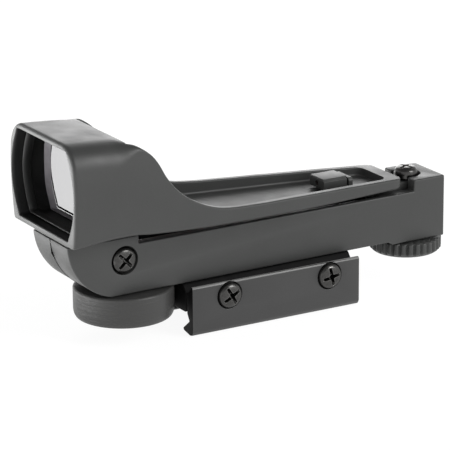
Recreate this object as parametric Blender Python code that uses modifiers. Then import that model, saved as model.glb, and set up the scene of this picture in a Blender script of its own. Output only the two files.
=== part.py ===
"""Red dot finder: a reflex sight with a lens hood, an elevation and windage base and a rail clamp.

Metres, +Z up.  The origin is the centre of the face that sits on the rail.  +X runs to the
eye end, the window faces -X, and the clamp's loose jaw is on the -Y side.
"""
import math

import bmesh
import bpy
from mathutils import Matrix, Vector

MM = 0.001

# Overall lengths along X, in mm
FRONT_X = -65.5
REAR_X = 59.9
ARM_END_X = 44.9
ARM_END_R = 2.6

# Hood
HOOD_HALF_W = 19.5
HOOD_BULGE_R = 40.0
HOOD_BULGE_Z = 41.2
HOOD_CORNER_R = 6.0
ARM_CORNER_R = 0.6
ROOF_REAR_X = -47.2
CORNER_FADE_X = -43.5
CORNER_FADE_L = 9.0
OPEN_TOP_Z = 58.0
WINDOW_HALF_W = 18.2
WINDOW_BULGE_R = 19.0
WINDOW_MID_Z = 40.4
WINDOW_CORNER_R = 0.8

# Lens
LENS_X = -56.1
LENS_T = 2.0
LENS_GAP = 0.3
FRAME_X = -62.6
FRAME_T = 2.6

# Emitter
EMITTER_X = 21.2
LAMP_Z = 27.4

# Base
BASE_FRONT_X = -63.6
BASE_BOTTOM_Z = 8.5
BASE_TOP_Z = 22.4
BASE_NOSE_Z = 25.9
BASE_NOSE_END_X = -41.5
BASE_NOSE_R = 18.0
BASE_FRONT_HALF_W = 10.3
BASE_NARROWING = 0.0208
BLOCK_FRONT_X = 49.3
BLOCK_TOP_Z = 25.8
REAR_FOOT_X = 40.5
REAR_FOOT_Z = 7.6
CHANNEL_HALF_W = 6.3
CHANNEL_FLOOR_Z = 10.9
TRAY_END_X = 40.4
TRAY_CORNER_R = 2.4

# Windage pivot, its axis along Y
PIVOT_X = -46.0
PIVOT_Z = 18.3
BARREL_R = 3.2
BARREL_HALF_L = 4.3
FLANGE_R = 4.4
FLANGE_T = 0.8
LUG_HALF_X = 5.2
LUG_HALF_Y = 4.0
LUG_TOP_Z = 27.6
SCREW_R = 1.5
RUNNING_GAP = 0.08

# Elevation screw and wheel, their axis along Z
ELEV_X = 51.5
WHEEL_R = 10.5
WHEEL_BOTTOM_Z = 2.9
WHEEL_TOP_Z = 7.1
WHEEL_FLUTES = 30
FLUTE_DEPTH = 0.45
TONGUE_TOP_Z = 24.3
TONGUE_BOTTOM_Z = 21.7
TONGUE_HALF_W = 3.6
HEAD_BOTTOM_Z = 24.6
HEAD_H = 3.4
HEAD_R = 3.5
POCKET_R = 4.3
POCKET_FLOOR_Z = 20.0
SPRING_FLOOR_Z = 13.0
SPRING_MEAN_R = 2.45
SPRING_WIRE_R = 0.32
SPRING_TURNS = 6

# Brightness dial and battery
DIAL_X = -41.4
DIAL_R = 14.0
DIAL_BOTTOM_Z = -0.5
DIAL_TOP_Z = 8.2
DIAL_HUB_R = 3.2
BATTERY_R = 10.0

# Rail clamp
CLAMP_HALF_L = 27.1
CLAMP_TOP_Z = 8.2
JAW_OUTER_Y = 13.4
JAW_INNER_Y = 10.1
BLOCK_NEAR_Y = 9.7
JAW_TOP_Z = 8.2
JAW_BOTTOM_Z = -6.2
CLAMP_SCREW_XS = (-15.3, 17.2)
CLAMP_SCREW_Z = 4.1
CLAMP_SCREW_R = 2.0
BLOCK_SCREW_XS = (-6.5, 8.5)

SEGMENTS = 48
SMALL_SEGMENTS = 28
CORNER_STEPS = 4
SIDE_STEPS = 8

for old in list(bpy.data.objects):
    bpy.data.objects.remove(old)

parts = bpy.data.collections.new("red_dot_finder")
cutters = bpy.data.collections.new("cutters")
bpy.context.scene.collection.children.link(parts)
bpy.context.scene.collection.children.link(cutters)

MATERIALS = {
    "black_plastic": ((0.035, 0.036, 0.035), 0.50, 0.0),
    "painted_metal": ((0.03, 0.03, 0.03), 0.45, 0.4),
    "dark_screw": ((0.10, 0.10, 0.11), 0.30, 1.0),
    "bright_steel": ((0.60, 0.60, 0.62), 0.28, 1.0),
    "brass": ((0.72, 0.53, 0.22), 0.30, 1.0),
    "lens_glass": ((0.72, 0.74, 0.78), 0.03, 0.0),
    "seal_rubber": ((0.02, 0.02, 0.02), 0.80, 0.0),
    "board_green": ((0.03, 0.16, 0.07), 0.45, 0.0),
    "led_red": ((0.70, 0.04, 0.03), 0.15, 0.0),
    "wire_red": ((0.55, 0.03, 0.03), 0.50, 0.0),
    "wire_black": ((0.02, 0.02, 0.02), 0.50, 0.0),
}


def material(name):
    """Return the named Principled material, made once."""
    found = bpy.data.materials.get(name)
    if found:
        return found
    colour, roughness, metallic = MATERIALS[name]
    made = bpy.data.materials.new(name)
    made.use_nodes = True
    shader = made.node_tree.nodes["Principled BSDF"]
    shader.inputs["Base Color"].default_value = (*colour, 1.0)
    shader.inputs["Roughness"].default_value = roughness
    shader.inputs["Metallic"].default_value = metallic
    return made


def add(name, bm, skin=None, at=(0, 0, 0), turn=None, smooth=False):
    """Turn a bmesh in mm, drawn about its own origin, into an object at a place in mm."""
    bmesh.ops.recalc_face_normals(bm, faces=bm.faces)
    bmesh.ops.scale(bm, vec=(MM, MM, MM), verts=bm.verts)
    mesh = bpy.data.meshes.new(name)
    bm.to_mesh(mesh)
    bm.free()
    if turn:
        mesh.transform(turn.to_4x4())
    obj = bpy.data.objects.new(name, mesh)
    obj.location = Vector(at) * MM
    if skin:
        mesh.materials.append(material(skin))
        parts.objects.link(obj)
    else:
        obj.hide_render = True
        obj.display_type = "WIRE"
        cutters.objects.link(obj)
    if smooth:
        mesh.shade_smooth()
        mesh.set_sharp_from_angle(angle=math.radians(35))
    return obj


def boolean(obj, other, operation="DIFFERENCE"):
    """Cut or join another object with an exact Boolean."""
    mod = obj.modifiers.new(other.name, "BOOLEAN")
    mod.operation = operation
    mod.solver = "EXACT"
    mod.object = other


def bevel(obj, width, segments=2):
    """Round the object's sharp edges by a width in mm."""
    mod = obj.modifiers.new("edges", "BEVEL")
    mod.width = width * MM
    mod.segments = segments
    mod.limit_method = "ANGLE"
    mod.angle_limit = math.radians(40)


def loft(rings, closed=False):
    """Skin a list of closed rings of (x, y, z), all with the same count, into a solid.

    A closed loft joins its last ring to its first, which makes a frame with a hole.
    """
    bm = bmesh.new()
    loops = [[bm.verts.new(p) for p in ring] for ring in rings]
    count = len(loops[0])
    pairs = list(zip(loops, loops[1:]))
    if closed:
        pairs.append((loops[-1], loops[0]))
    for low, high in pairs:
        for i in range(count):
            j = (i + 1) % count
            bm.faces.new((low[i], low[j], high[j], high[i]))
    if not closed:
        bm.faces.new(loops[0])
        bm.faces.new(list(reversed(loops[-1])))
    return bm


def box(x0, x1, y0, y1, z0, z1):
    """A plain block between two corners."""
    ring = [(y0, z0), (y1, z0), (y1, z1), (y0, z1)]
    return loft([[(x, y, z) for y, z in ring] for x in (x0, x1)])


def prism(outline, axis, low, high):
    """Extrude an outline along X, Y or Z between two positions."""
    if axis == "X":
        return loft([[(t, a, b) for a, b in outline] for t in (low, high)])
    if axis == "Y":
        return loft([[(a, t, b) for a, b in outline] for t in (low, high)])
    return loft([[(a, b, t) for a, b in outline] for t in (low, high)])


def lathe(profile, segments=SEGMENTS, ring=False):
    """Spin (radius, z) points about Z.  A ring's profile is a closed loop clear of the axis."""
    bm = bmesh.new()
    loops = []
    for radius, z in profile:
        if radius == 0:
            loops.append([bm.verts.new((0, 0, z))])
            continue
        turn = [2 * math.pi * i / segments for i in range(segments)]
        loops.append([bm.verts.new((radius * math.cos(a), radius * math.sin(a), z)) for a in turn])
    pairs = list(zip(loops, loops[1:]))
    if ring:
        pairs.append((loops[-1], loops[0]))
    for low, high in pairs:
        for i in range(segments):
            j = (i + 1) % segments
            if len(low) == 1:
                bm.faces.new((low[0], high[j], high[i]))
            elif len(high) == 1:
                bm.faces.new((low[i], low[j], high[0]))
            else:
                bm.faces.new((low[i], low[j], high[j], high[i]))
    return bm


def rod(radius, low, high, segments=SMALL_SEGMENTS):
    """A plain round bar along Z."""
    return lathe([(0, low), (radius, low), (radius, high), (0, high)], segments)


def tube(path, radius, sides=8):
    """Sweep a round section along a list of points."""
    points = [Vector(p) for p in path]
    rings = []
    normal = None
    for i, point in enumerate(points):
        ahead = points[min(i + 1, len(points) - 1)]
        behind = points[max(i - 1, 0)]
        tangent = (ahead - behind).normalized()
        if normal is None:
            normal = tangent.orthogonal().normalized()
        normal = (normal - tangent * normal.dot(tangent)).normalized()
        side = tangent.cross(normal)
        turn = [2 * math.pi * k / sides for k in range(sides)]
        rings.append([point + (normal * math.cos(a) + side * math.sin(a)) * radius for a in turn])
    return loft(rings)


def arc(centre_a, centre_b, radius, start, end, steps):
    """Points along a circular arc in a plane, its angles in degrees."""
    points = []
    for k in range(steps + 1):
        angle = math.radians(start + (end - start) * k / steps)
        points.append((centre_a + radius * math.cos(angle), centre_b + radius * math.sin(angle)))
    return points


def curve_at(points, x):
    """Read a height off a smooth line through (x, value) points."""
    if x <= points[0][0]:
        return points[0][1]
    for (xa, va), (xb, vb) in zip(points, points[1:]):
        if x <= xb:
            share = (x - xa) / (xb - xa)
            return va + (vb - va) * share
    return points[-1][1]


ALONG_Y = Matrix.Rotation(math.radians(90), 3, "X")
ALONG_X = Matrix.Rotation(math.radians(90), 3, "Y")


# ---------------------------------------------------------------- sight body
SKYLINE = ((-65.5, 54.4), (-60.0, 54.2), (-55.0, 53.9), (-51.0, 53.5), (-48.5, 53.1), (-47.2, 52.8),
           (-45.5, 52.2), (-44.0, 51.5), (-41.6, 49.6), (-40.1, 47.8), (-38.7, 45.6), (-37.2, 42.9),
           (-35.4, 40.4), (-32.7, 37.5), (-29.5, 35.0), (-26.5, 33.3), (-23.5, 31.9), (-19.5, 30.6),
           (-15.5, 29.9), (-8.5, 29.4), (9.5, 28.7), (26.5, 28.05), (ARM_END_X, 27.3))
KEEL = ((-65.5, 26.4), (-60.0, 26.4), (-47.5, 26.6), (-41.0, 26.1), (-23.5, 25.2), (-9.5, 24.6),
        (10.5, 24.0), (ARM_END_X, 23.8))
PLAN = ((-65.5, 19.5), (-50.0, 18.5), (-35.0, 17.4), (-17.5, 15.9), (-8.5, 15.1), (10.0, 13.1),
        (21.5, 11.8), (34.5, 10.3), (39.5, 9.7), (ARM_END_X, 9.1))
WALL = ((-65.5, 1.3), (-40.0, 1.5), (-20.0, 2.0), (42.0, 2.6))
CEILING = ((-66.5, 52.6), (-60.0, 52.4), (ROOF_REAR_X, 51.3))
FLOOR = ((-70.0, 28.2), (-50.0, 28.0), (-30.0, 26.6), (-8.5, 25.8), (45.0, 25.0))


def bulge_share(x):
    """How much of the hood's side bulge is left at x."""
    return max(0.15, min(1.0, (-15.0 - x) / 45.0))


def shell_ring(x, low, high, low_r, high_r, half_width):
    """One closed section across the sight body, its corners rounded."""
    side = []
    low_z = low + low_r
    high_z = high - high_r
    for k in range(CORNER_STEPS + 1):
        angle = math.radians(-90 + 90 * k / CORNER_STEPS)
        centre_y = half_width(low_z) - low_r
        side.append((centre_y + low_r * math.cos(angle), low_z + low_r * math.sin(angle)))
    for k in range(1, SIDE_STEPS):
        z = low_z + (high_z - low_z) * k / SIDE_STEPS
        side.append((half_width(z), z))
    for k in range(CORNER_STEPS + 1):
        angle = math.radians(90 * k / CORNER_STEPS)
        centre_y = half_width(high_z) - high_r
        side.append((centre_y + high_r * math.cos(angle), high_z + high_r * math.sin(angle)))
    right = [(x, y, z) for y, z in side]
    left = [(x, -y, z) for y, z in reversed(side)]
    return right + left


def outer_ring(x):
    """The sight body's outer section at x."""
    share = bulge_share(x)
    top = curve_at(SKYLINE, x)

    into_end = max(0.0, x - ARM_END_X + ARM_END_R)
    end_draw = ARM_END_R - math.sqrt(max(0.0, ARM_END_R ** 2 - into_end ** 2))

    def half_width(z):
        return curve_at(PLAN, x) - end_draw - share * (z - HOOD_BULGE_Z) ** 2 / (2 * HOOD_BULGE_R)

    low_r = ARM_CORNER_R + 0.4 * share
    fade = max(0.0, min(1.0, (CORNER_FADE_X - x) / CORNER_FADE_L))
    high_r = ARM_CORNER_R + (HOOD_CORNER_R - ARM_CORNER_R) * fade
    return shell_ring(x, curve_at(KEEL, x), top, low_r, high_r, half_width)


def inner_ring(x, top=None):
    """The hollow's section at x: the window in the hood and the tray behind it."""
    share = bulge_share(x)
    wall = curve_at(WALL, x)
    narrow = curve_at(PLAN, x) - HOOD_HALF_W
    into_corner = max(0.0, x - TRAY_END_X + TRAY_CORNER_R)
    wall += TRAY_CORNER_R - math.sqrt(max(0.0, TRAY_CORNER_R ** 2 - into_corner ** 2))

    def half_width(z):
        outer = curve_at(PLAN, x) - share * (z - HOOD_BULGE_Z) ** 2 / (2 * HOOD_BULGE_R)
        window = WINDOW_HALF_W + narrow - (z - WINDOW_MID_Z) ** 2 / (2 * WINDOW_BULGE_R)
        return min(outer - wall, window + (1 - share) * 6.0)

    top = top or curve_at(CEILING, x)
    return shell_ring(x, curve_at(FLOOR, x), top, WINDOW_CORNER_R, WINDOW_CORNER_R, half_width)


END_STATIONS = {ARM_END_X - ARM_END_R * share for share in (1.0, 0.6, 0.25, 0.05)}
EXTRA_STATIONS = {-42.8, -4.0, 2.0, 18.0, 34.0} | END_STATIONS
stations = sorted({x for x, _ in SKYLINE} | {x for x, _ in KEEL} | EXTRA_STATIONS)
sight = add("sight_body", loft([outer_ring(x) for x in stations]), "black_plastic")
hood_rings = [inner_ring(x) for x in (-66.5, -60.0, -54.0, ROOF_REAR_X)]
open_stations = [ROOF_REAR_X + 0.3, -44.0, -38.0, -32.0, -26.0, -20.0, -14.0, -8.0, 0.0, 10.0, 20.0, 30.0]
open_stations += [TRAY_END_X - 2.4, TRAY_END_X - 1.2, TRAY_END_X - 0.4, TRAY_END_X]
hollow = add("hollow", loft(hood_rings + [inner_ring(x, OPEN_TOP_Z) for x in open_stations]))
boolean(sight, hollow)

lug_outline = arc(PIVOT_X, PIVOT_Z, LUG_HALF_X, 180, 360, 18)
lug_outline += [(PIVOT_X + LUG_HALF_X, LUG_TOP_Z), (PIVOT_X - LUG_HALF_X, LUG_TOP_Z)]
boolean(sight, add("lug", prism(lug_outline, "Y", -LUG_HALF_Y, LUG_HALF_Y)), "UNION")
lug_bore = rod(BARREL_R + RUNNING_GAP, -9, 9, 36)
boolean(sight, add("lug_bore", lug_bore, at=(PIVOT_X, 0, PIVOT_Z), turn=ALONG_Y))

tongue_outline = arc(ELEV_X, 0, TONGUE_HALF_W, -90, 90, 10)
tongue_outline = [(36.0, -TONGUE_HALF_W)] + tongue_outline + [(36.0, TONGUE_HALF_W)]
boolean(sight, add("tongue", prism(tongue_outline, "Z", TONGUE_BOTTOM_Z, TONGUE_TOP_Z)), "UNION")
boolean(sight, add("tongue_hole", rod(2.1, -8, 8), at=(ELEV_X, 0, 23.0)))
boolean(sight, add("wire_way", box(27.0, 29.0, -1.6, 1.6, 20, 30)))

lens_ring = inner_ring(LENS_X)


def shrink(ring, x, gap, centre_z=WINDOW_MID_Z):
    """Offset a section inward by a gap and place it at x."""
    out = []
    for _, y, z in ring:
        out.append((x, y - math.copysign(gap, y), z - math.copysign(gap, z - centre_z)))
    return out


lens = loft([shrink(lens_ring, LENS_X, LENS_GAP), shrink(lens_ring, LENS_X + LENS_T, LENS_GAP + 0.1)])
add("reflector_lens", lens, "lens_glass")
frame_ring = inner_ring(FRAME_X)
frame_back = FRAME_X + FRAME_T
frame_rings = [shrink(frame_ring, FRAME_X, 0.35), shrink(frame_ring, frame_back, 0.6),
               shrink(frame_ring, frame_back, 1.5), shrink(frame_ring, FRAME_X, 1.5)]
add("lens_frame", loft(frame_rings, closed=True), "black_plastic")

# Emitter in the tray
emitter_outline = [(-3.8, 26.0), (3.8, 26.0), (3.8, 28.5), (3.4, 28.6), (3.4, 29.2), (-3.4, 29.2),
                   (-3.4, 28.6), (-3.8, 28.5)]
emitter = add("emitter_housing", prism(emitter_outline, "X", EMITTER_X, EMITTER_X + 7.8), "black_plastic")
boolean(emitter, add("aperture", rod(0.8, -1, 2), at=(EMITTER_X, 0, LAMP_Z), turn=ALONG_X))
boolean(emitter, add("emitter_bore", rod(1.4, 1.0, 4.6), at=(EMITTER_X, 0, LAMP_Z), turn=ALONG_X))
boolean(emitter, add("emitter_well", box(25.3, 28.2, -2.5, 2.5, 25, 28.3)))
led = lathe([(0, 0.0), (0.8, 0.2), (1.1, 0.8), (1.1, 3.2), (0, 3.2)], SMALL_SEGMENTS)
add("emitter_led", led, "led_red", at=(EMITTER_X + 1.2, 0, LAMP_Z), turn=ALONG_X, smooth=True)
add("emitter_board", box(25.8, 26.6, -2.1, 2.1, 26.3, 28.0), "board_green")
clip_outline = [(-4.1, 26.1), (4.1, 26.1), (4.1, 27.9), (3.5, 28.6), (-3.5, 28.6), (-4.1, 27.9)]
clip = add("emitter_clip", prism(clip_outline, "X", 29.4, 30.8), "black_plastic")
boolean(clip, add("clip_notch", box(29.0, 31.2, -2.6, 2.6, 25.0, 27.4)))


def wire(name, side, skin):
    """One of the lamp's two leads, laid under the arm from the emitter to the pivot lug."""
    path = [(28.0, 0.9 * side, 25.6), (28.0, 0.9 * side, 23.2), (27.4, 0.9 * side, 22.5), (26.0, 0.9 * side, 22.2)]
    for k in range(10):
        path.append((22.0 - 6.6 * k, 0.9 * side, 22.0 + 0.12 * k))
    add(name, tube(path, 0.42, 6), skin)


wire("lamp_lead_red", -1, "wire_red")
wire("lamp_lead_black", 1, "wire_black")

# ---------------------------------------------------------------- base
def base_half_width(x):
    """The base narrows a little toward the eye end."""
    return BASE_FRONT_HALF_W - BASE_NARROWING * (x - FRONT_X)


nose_x = BASE_FRONT_X + BASE_NOSE_R
nose_turn = math.degrees(math.asin((BASE_NOSE_Z - BASE_BOTTOM_Z) / BASE_NOSE_R))
base_side = arc(nose_x, BASE_NOSE_Z, BASE_NOSE_R, 180, 180 + nose_turn, 14)
base_side += [(REAR_FOOT_X, BASE_BOTTOM_Z), (REAR_FOOT_X + 1.6, REAR_FOOT_Z), (REAR_X, REAR_FOOT_Z),
              (REAR_X, BLOCK_TOP_Z), (BLOCK_FRONT_X, BLOCK_TOP_Z), (BLOCK_FRONT_X, BASE_TOP_Z),
              (BASE_NOSE_END_X, BASE_TOP_Z), (BASE_NOSE_END_X, BASE_NOSE_Z)]
rings = [[(x, side * base_half_width(x), z) for x, z in base_side] for side in (-1, 1)]
base = add("base_housing", loft(rings), "black_plastic")
bevel(base, 0.5)
boolean(base, add("channel", box(-52.7, 38.5, -CHANNEL_HALF_W, CHANNEL_HALF_W, CHANNEL_FLOOR_Z, 30)))
pocket = [(40.5, -POCKET_R)] + arc(ELEV_X, 0, POCKET_R, -90, 90, 12) + [(40.5, POCKET_R)]
boolean(base, add("pocket", prism(pocket, "Z", POCKET_FLOOR_Z, 30)))
boolean(base, add("tongue_slot", box(33.0, 41.5, -POCKET_R, POCKET_R, POCKET_FLOOR_Z, 30)))
boolean(base, add("spring_well", rod(3.2, SPRING_FLOOR_Z, 22), at=(ELEV_X, 0, 0)))
boolean(base, add("screw_way", rod(1.85, 4, 20), at=(ELEV_X, 0, 0)))
boolean(base, add("side_hole", rod(1.75, -14, 14), at=(PIVOT_X, 0, PIVOT_Z), turn=ALONG_Y))
near_wall = base_half_width(PIVOT_X)
near_bore = rod(4.25, -2.0, 4, 36)
boolean(base, add("side_counterbore", near_bore, at=(PIVOT_X, -near_wall, PIVOT_Z), turn=ALONG_Y))
far_bore = rod(3.0, -4, 1.8)
boolean(base, add("far_counterbore", far_bore, at=(PIVOT_X, near_wall, PIVOT_Z), turn=ALONG_Y))
boolean(base, add("hub_hole", rod(DIAL_HUB_R + RUNNING_GAP, 5, 16, 36), at=(DIAL_X, 0, 0)))
boolean(base, add("board_recess", rod(8.1, 5, 9.8, 36), at=(DIAL_X, 0, 0)))
for i, x in enumerate(BLOCK_SCREW_XS):
    boolean(base, add(f"block_screw_hole_{i}", rod(1.3, 5, 16), at=(x, 0, 0)))

board = lathe([(3.7, 9.0), (7.8, 9.0), (7.8, 9.6), (3.7, 9.6)], SEGMENTS, ring=True)
add("dimmer_board", board, "board_green", at=(DIAL_X, 0, 0))
clip_r = DIAL_HUB_R - 0.42
dial_clip = lathe([(clip_r, 11.2), (4.6, 11.2), (4.6, 11.8), (clip_r, 11.8)], SMALL_SEGMENTS, ring=True)
add("dial_clip", dial_clip, "bright_steel", at=(DIAL_X, 0, 0))

# ---------------------------------------------------------------- brightness dial
bay_r = BATTERY_R + 0.35
dial_profile = [(0, 5.9), (bay_r, 5.9), (bay_r, 2.7), (12.3, 2.7), (12.3, DIAL_BOTTOM_Z),
                (12.9, DIAL_BOTTOM_Z), (13.4, -0.2), (13.8, 0.5), (DIAL_R, 1.5), (DIAL_R, 7.8),
                (DIAL_R - 0.4, DIAL_TOP_Z), (DIAL_HUB_R, DIAL_TOP_Z), (DIAL_HUB_R, 11.0),
                (DIAL_HUB_R - 0.6, 11.0), (DIAL_HUB_R - 0.6, 12.0), (DIAL_HUB_R, 12.0), (DIAL_HUB_R, 12.4),
                (0, 12.4)]
dial = add("brightness_dial", lathe(dial_profile, 56), "black_plastic", at=(DIAL_X, 0, 0), smooth=True)
boolean(dial, add("wiper_pocket", box(-7.9, -4.3, -1.3, 1.3, 6.7, 9), at=(DIAL_X, 0, 0)))
add("dial_wiper", box(-7.6, -4.6, -1.0, 1.0, 7.0, 8.7), "brass", at=(DIAL_X, 0, 0))
battery_profile = [(0, 2.4), (9.4, 2.4), (9.6, 2.6), (BATTERY_R, 2.9), (BATTERY_R, 5.3),
                   (BATTERY_R - 0.3, 5.6), (0, 5.6)]
add("battery", lathe(battery_profile), "bright_steel", at=(DIAL_X, 0, 0), smooth=True)
cap_profile = [(0, 0.5), (11.6, 0.5), (12.0, 0.9), (12.0, 1.9), (10.2, 1.9), (10.2, 2.1), (0, 2.1)]
cap = add("battery_cap", lathe(cap_profile), "black_plastic", at=(DIAL_X, 0, 0), smooth=True)
boolean(cap, add("coin_slot", box(-6, 6, -0.9, 0.9, -1, 1.3), at=(DIAL_X, 0, 0)))
seal = lathe([(10.8, 2.1), (11.8, 2.1), (11.8, 2.45), (10.8, 2.45)], ring=True)
add("cap_seal", seal, "seal_rubber", at=(DIAL_X, 0, 0))


# ---------------------------------------------------------------- fasteners
def cross_screw(name, at, turn, head_r, head_h, shank_r, length, groove=None):
    """A pan-head cross-recess screw.  The head stands on +Z of its own frame, the shank below.

    A groove is the height of its lower edge, its width and its depth.
    """
    profile = [(0, -length), (shank_r * 0.7, -length), (shank_r, -length + 0.6)]
    if groove:
        low, width, depth = groove
        waist = shank_r - depth
        profile += [(shank_r, low), (waist, low), (waist, low + width), (shank_r, low + width)]
    profile += [(shank_r, 0), (head_r * 0.96, 0), (head_r, 0.25), (head_r * 0.97, head_h * 0.6),
                (head_r * 0.80, head_h * 0.87), (head_r * 0.45, head_h), (0, head_h)]
    screw = add(name, lathe(profile, SMALL_SEGMENTS), "dark_screw", at=at, turn=turn, smooth=True)
    arm = head_r * 0.66
    slot = head_r * 0.16
    for label, half_x, half_y in (("a", arm, slot), ("b", slot, arm)):
        taper_x = 0.5 if half_x == arm else 1.0
        taper_y = 0.5 if half_y == arm else 1.0
        rings = []
        for z, scale_x, scale_y in ((head_h + 1, 1.0, 1.0), (head_h * 0.3, taper_x, taper_y)):
            x = half_x * scale_x
            y = half_y * scale_y
            rings.append([(-x, -y, z), (x, -y, z), (x, y, z), (-x, y, z)])
        boolean(screw, add(f"{name}_recess_{label}", loft(rings), at=at, turn=turn))
    return screw


head_seat = near_wall - 1.9
groove_z = 2.9 - 2 * near_wall
windage_length = 2 * near_wall - 2.4
cross_screw("windage_screw", (PIVOT_X, -head_seat, PIVOT_Z), ALONG_Y, 3.6, 2.6, SCREW_R, windage_length,
            groove=(groove_z, 0.8, 0.35))
groove_r = SCREW_R - 0.3
windage_clip = lathe([(groove_r, 0), (2.6, 0), (2.6, 0.6), (groove_r, 0.6)], SMALL_SEGMENTS, ring=True)
add("windage_clip", windage_clip, "bright_steel", at=(PIVOT_X, near_wall - 1.1, PIVOT_Z), turn=ALONG_Y)
barrel_end = BARREL_HALF_L + FLANGE_T
bore_r = SCREW_R + RUNNING_GAP
barrel_profile = [(bore_r, -barrel_end), (BARREL_R - 0.6, -barrel_end), (BARREL_R - 0.6, -BARREL_HALF_L),
                  (BARREL_R, -BARREL_HALF_L), (BARREL_R, BARREL_HALF_L), (FLANGE_R, BARREL_HALF_L),
                  (FLANGE_R, barrel_end), (bore_r, barrel_end)]
add("pivot_barrel", lathe(barrel_profile, SMALL_SEGMENTS, ring=True), "brass", at=(PIVOT_X, 0, PIVOT_Z),
    turn=ALONG_Y, smooth=True)
clip_r = BARREL_R - 0.55
barrel_clip = lathe([(clip_r, 0), (FLANGE_R, 0), (FLANGE_R, 0.5), (clip_r, 0.5)], SMALL_SEGMENTS, ring=True)
add("barrel_clip", barrel_clip, "bright_steel", at=(PIVOT_X, barrel_end - 0.1, PIVOT_Z), turn=ALONG_Y)

cross_screw("elevation_screw", (ELEV_X, 0, HEAD_BOTTOM_Z), None, HEAD_R, HEAD_H, SCREW_R,
            HEAD_BOTTOM_Z - 4.2)
coil = []
coil_bottom = SPRING_FLOOR_Z + SPRING_WIRE_R + 0.1
coil_top = TONGUE_BOTTOM_Z - SPRING_WIRE_R - 0.1
for k in range(12 * SPRING_TURNS + 1):
    angle = 2 * math.pi * k / 12
    share = k / (12 * SPRING_TURNS)
    coil.append((SPRING_MEAN_R * math.cos(angle), SPRING_MEAN_R * math.sin(angle),
                 coil_bottom + (coil_top - coil_bottom) * share))
spring = tube(coil, SPRING_WIRE_R, 6)
add("elevation_spring", spring, "bright_steel", at=(ELEV_X, 0, 0), smooth=True)

wheel_outline = []
for k in range(WHEEL_FLUTES * 4):
    angle = 2 * math.pi * k / (WHEEL_FLUTES * 4)
    depth = FLUTE_DEPTH if k % 4 > 1 else 0.0
    wheel_outline.append((angle, WHEEL_R - depth))
wheel_levels = ((WHEEL_BOTTOM_Z, 1.0), (WHEEL_BOTTOM_Z + 0.7, 0.0), (WHEEL_TOP_Z - 0.3, 0.0), (WHEEL_TOP_Z, 0.3))
wheel_rings = []
for z, draw_in in wheel_levels:
    wheel_rings.append([((r - draw_in) * math.cos(a), (r - draw_in) * math.sin(a), z) for a, r in wheel_outline])
wheel = add("elevation_wheel", loft(wheel_rings), "black_plastic", at=(ELEV_X, 0, 0))
boolean(wheel, add("wheel_hole", rod(SCREW_R + RUNNING_GAP, 0, 12), at=(ELEV_X, 0, 0)))

# ---------------------------------------------------------------- rail clamp
# The dovetail that both jaws share, as (distance from the middle, height)
DOVETAIL = ((10.4, -0.6), (11.3, -2.1), (7.7, -4.9), (8.1, -5.5), (11.6, JAW_BOTTOM_Z), (12.8, -5.9),
            (JAW_OUTER_Y, -4.9))
block_outline = [(-BLOCK_NEAR_Y, CLAMP_TOP_Z), (-BLOCK_NEAR_Y, 0.6), (-9.1, 0), (9.6, 0), *DOVETAIL,
                 (JAW_OUTER_Y, 7.6), (12.9, CLAMP_TOP_Z)]
block = add("rail_clamp_block", prism(block_outline, "X", -CLAMP_HALF_L, CLAMP_HALF_L), "painted_metal")
bevel(block, 0.25)
jaw_half = [(JAW_OUTER_Y - 0.3, JAW_TOP_Z), (12.7, JAW_TOP_Z), (JAW_INNER_Y, 5.2), (JAW_INNER_Y, -0.2),
            *DOVETAIL, (JAW_OUTER_Y, JAW_TOP_Z - 0.3)]
jaw = add("clamp_jaw", prism([(-y, z) for y, z in jaw_half], "X", -CLAMP_HALF_L, CLAMP_HALF_L), "painted_metal")
bevel(jaw, 0.25)
for i, x in enumerate(CLAMP_SCREW_XS):
    label = ("front", "rear")[i]
    place = (x, 0, CLAMP_SCREW_Z)
    clamp_hole = rod(CLAMP_SCREW_R + 0.3, -16, 16)
    boolean(block, add(f"clamp_hole_{label}", clamp_hole, at=place, turn=ALONG_Y))
    nut_pocket = box(x - 3.5, x + 3.5, 10.4, 15, CLAMP_SCREW_Z - 3.3, CLAMP_SCREW_Z + 3.3)
    boolean(block, add(f"nut_pocket_{label}", nut_pocket))
    jaw_hole = rod(CLAMP_SCREW_R + 0.15, -16, 16)
    boolean(jaw, add(f"jaw_hole_{label}", jaw_hole, at=(x, -10, CLAMP_SCREW_Z), turn=ALONG_Y))
    jaw_bore = rod(4.15, -1.3, 4, 36)
    boolean(jaw, add(f"jaw_counterbore_{label}", jaw_bore, at=(x, -JAW_OUTER_Y, CLAMP_SCREW_Z), turn=ALONG_Y))
    head_place = (x, -JAW_OUTER_Y + 1.15, CLAMP_SCREW_Z)
    cross_screw(f"clamp_screw_{label}", head_place, ALONG_Y, 3.7, 2.6, CLAMP_SCREW_R, 25.2)
    nut = box(x - 3.1, x + 3.1, 10.6, 13.2, CLAMP_SCREW_Z - 3.0, CLAMP_SCREW_Z + 3.0)
    nut = add(f"clamp_nut_{label}", nut, "bright_steel")
    nut_hole = rod(CLAMP_SCREW_R + RUNNING_GAP, -16, 16)
    boolean(nut, add(f"nut_hole_{label}", nut_hole, at=place, turn=ALONG_Y))
for i, x in enumerate(BLOCK_SCREW_XS):
    label = ("front", "rear")[i]
    boolean(block, add(f"block_bore_{label}", rod(1.6, -3, 12), at=(x, 0, 0)))
    boolean(block, add(f"block_counterbore_{label}", rod(3.3, -3, 2.4), at=(x, 0, 0)))
    cross_screw(f"block_screw_{label}", (x, 0, 2.2), Matrix.Rotation(math.pi, 3, "X"), 3.0, 1.7, 1.25, 8.5)
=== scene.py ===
"""Looks of the red dot finder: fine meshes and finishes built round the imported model."""
import math

import bmesh
import bpy
from mathutils import Matrix, Vector


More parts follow.
